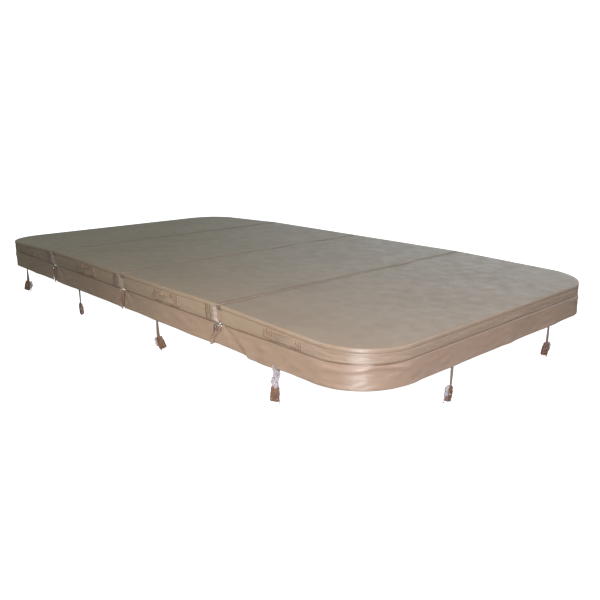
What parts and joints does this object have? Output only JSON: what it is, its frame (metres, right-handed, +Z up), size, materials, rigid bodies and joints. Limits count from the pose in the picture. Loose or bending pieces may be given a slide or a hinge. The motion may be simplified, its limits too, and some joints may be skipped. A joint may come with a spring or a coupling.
{
  "type": "folding swim spa cover",
  "caption": "Folding swim spa cover: tapered foam panels in vinyl on top hinges, with a hanging skirt, handles, zips and tie-down straps ending in key locks.",
  "frame": {"origin": "middle of the second panel's underside, where it rests on the rim of the tub", "axes": "+X along the row of panels towards panel 4, +Y across the cover away from the side with the zip pulls, +Z up"},
  "size_m": [4.2124, 2.284, 0.42],
  "materials": {
    "vinyl": "satin",
    "skirt_vinyl": "satin",
    "hinge_vinyl": "satin",
    "handle_vinyl": "satin",
    "liner_fabric": "matte",
    "film": "satin",
    "foam": "matte",
    "steel": "satin",
    "webbing": "matte",
    "lock_plastic": "satin",
    "zip_metal": "satin"
  },
  "bodies": {
    "panel_1": {"panel_cover_1": "vinyl", "underside_liner_1": "liner_fabric", "vapour_wrap_1": "film", "foam_core_1": "foam", "steel_channel_1": "steel", "skirt_1": "skirt_vinyl", "handles_1": "handle_vinyl"},
    "panel_2": {"panel_cover_2": "vinyl", "underside_liner_2": "liner_fabric", "vapour_wrap_2": "film", "foam_core_2": "foam", "steel_channel_2": "steel", "skirt_2": "skirt_vinyl", "handles_2": "handle_vinyl", "hinge_1": "hinge_vinyl", "hinge_2": "hinge_vinyl"},
    "panel_3": {"panel_cover_3": "vinyl", "underside_liner_3": "liner_fabric", "vapour_wrap_3": "film", "foam_core_3": "foam", "steel_channel_3": "steel", "skirt_3": "skirt_vinyl", "handles_3": "handle_vinyl", "hinge_3": "hinge_vinyl"},
    "panel_4": {"panel_cover_4": "vinyl", "underside_liner_4": "liner_fabric", "vapour_wrap_4": "film", "foam_core_4": "foam", "steel_channel_4": "steel", "skirt_4": "skirt_vinyl", "handles_4": "handle_vinyl"},
    "zip_1": {"zip_slider_1": "zip_metal"},
    "zip_2": {"zip_slider_2": "zip_metal"},
    "zip_3": {"zip_slider_3": "zip_metal"},
    "zip_4": {"zip_slider_4": "zip_metal"},
    "tie_01": {"tie_strap_01": "webbing", "lock_01": "lock_plastic"},
    "tie_02": {"tie_strap_02": "webbing", "lock_02": "lock_plastic"},
    "tie_03": {"tie_strap_03": "webbing", "lock_03": "lock_plastic"},
    "tie_04": {"tie_strap_04": "webbing", "lock_04": "lock_plastic"},
    "tie_05": {"tie_strap_05": "webbing", "lock_05": "lock_plastic"},
    "tie_06": {"tie_strap_06": "webbing", "lock_06": "lock_plastic"},
    "tie_07": {"tie_strap_07": "webbing", "lock_07": "lock_plastic"},
    "tie_08": {"tie_strap_08": "webbing", "lock_08": "lock_plastic"},
    "tie_09": {"tie_strap_09": "webbing", "lock_09": "lock_plastic"},
    "tie_10": {"tie_strap_10": "webbing", "lock_10": "lock_plastic"},
    "tie_11": {"tie_strap_11": "webbing", "lock_11": "lock_plastic"},
    "tie_12": {"tie_strap_12": "webbing", "lock_12": "lock_plastic"}
  },
  "joints": [
    {"name": "fold_1", "type": "hinge", "parent": "panel_2", "child": "panel_1", "pos_m": [-0.525, 0, 0.111], "axis": [0, 1, 0], "range_deg": [0, 180]},
    {"name": "fold_2", "type": "hinge", "parent": "panel_2", "child": "panel_3", "pos_m": [0.525, 0, 0.111], "axis": [0, 1, 0], "range_deg": [-179, 0]},
    {"name": "fold_3", "type": "hinge", "parent": "panel_3", "child": "panel_4", "pos_m": [1.575, 0, 0.111], "axis": [0, -1, 0], "range_deg": [0, 180]},
    {"name": "zip_1_run", "type": "slide", "parent": "panel_1", "child": "zip_1", "axis": [0, 1, 0], "range_m": [0, 2.2]},
    {"name": "zip_2_run", "type": "slide", "parent": "panel_2", "child": "zip_2", "axis": [0, 1, 0], "range_m": [0, 2.2]},
    {"name": "zip_3_run", "type": "slide", "parent": "panel_3", "child": "zip_3", "axis": [0, 1, 0], "range_m": [0, 2.2]},
    {"name": "zip_4_run", "type": "slide", "parent": "panel_4", "child": "zip_4", "axis": [0, 1, 0], "range_m": [0, 2.2]},
    {"name": "tie_01_swing", "type": "hinge", "parent": "panel_1", "child": "tie_01", "pos_m": [-1.11, -1.1212, -0.003], "axis": [1, 0, 0], "range_deg": [0, 80]},
    {"name": "tie_02_swing", "type": "hinge", "parent": "panel_2", "child": "tie_02", "pos_m": [-0.14, -1.1212, -0.003], "axis": [1, 0, 0], "range_deg": [0, 80]},
    {"name": "tie_03_swing", "type": "hinge", "parent": "panel_3", "child": "tie_03", "pos_m": [0.925, -1.1212, -0.003], "axis": [1, 0, 0], "range_deg": [0, 80]},
    {"name": "tie_04_swing", "type": "hinge", "parent": "panel_4", "child": "tie_04", "pos_m": [2.03, -1.1212, -0.003], "axis": [1, 0, 0], "range_deg": [0, 80]},
    {"name": "tie_05_swing", "type": "hinge", "parent": "panel_4", "child": "tie_05", "pos_m": [2.6212, -0.47, -0.003], "axis": [0, 1, 0], "range_deg": [0, 80]},
    {"name": "tie_06_swing", "type": "hinge", "parent": "panel_4", "child": "tie_06", "pos_m": [2.6212, 0.525, -0.003], "axis": [0, 1, 0], "range_deg": [0, 80]},
    {"name": "tie_07_swing", "type": "hinge", "parent": "panel_4", "child": "tie_07", "pos_m": [2.03, 1.1212, -0.003], "axis": [-1, 0, 0], "range_deg": [0, 80]},
    {"name": "tie_08_swing", "type": "hinge", "parent": "panel_3", "child": "tie_08", "pos_m": [0.925, 1.1212, -0.003], "axis": [-1, 0, 0], "range_deg": [0, 80]},
    {"name": "tie_09_swing", "type": "hinge", "parent": "panel_2", "child": "tie_09", "pos_m": [-0.14, 1.1212, -0.003], "axis": [-1, 0, 0], "range_deg": [0, 80]},
    {"name": "tie_10_swing", "type": "hinge", "parent": "panel_1", "child": "tie_10", "pos_m": [-1.11, 1.1212, -0.003], "axis": [-1, 0, 0], "range_deg": [0, 80]},
    {"name": "tie_11_swing", "type": "hinge", "parent": "panel_1", "child": "tie_11", "pos_m": [-1.5712, -0.47, -0.003], "axis": [0, -1, 0], "range_deg": [0, 80]},
    {"name": "tie_12_swing", "type": "hinge", "parent": "panel_1", "child": "tie_12", "pos_m": [-1.5712, 0.525, -0.003], "axis": [0, -1, 0], "range_deg": [0, 80]}
  ]
}
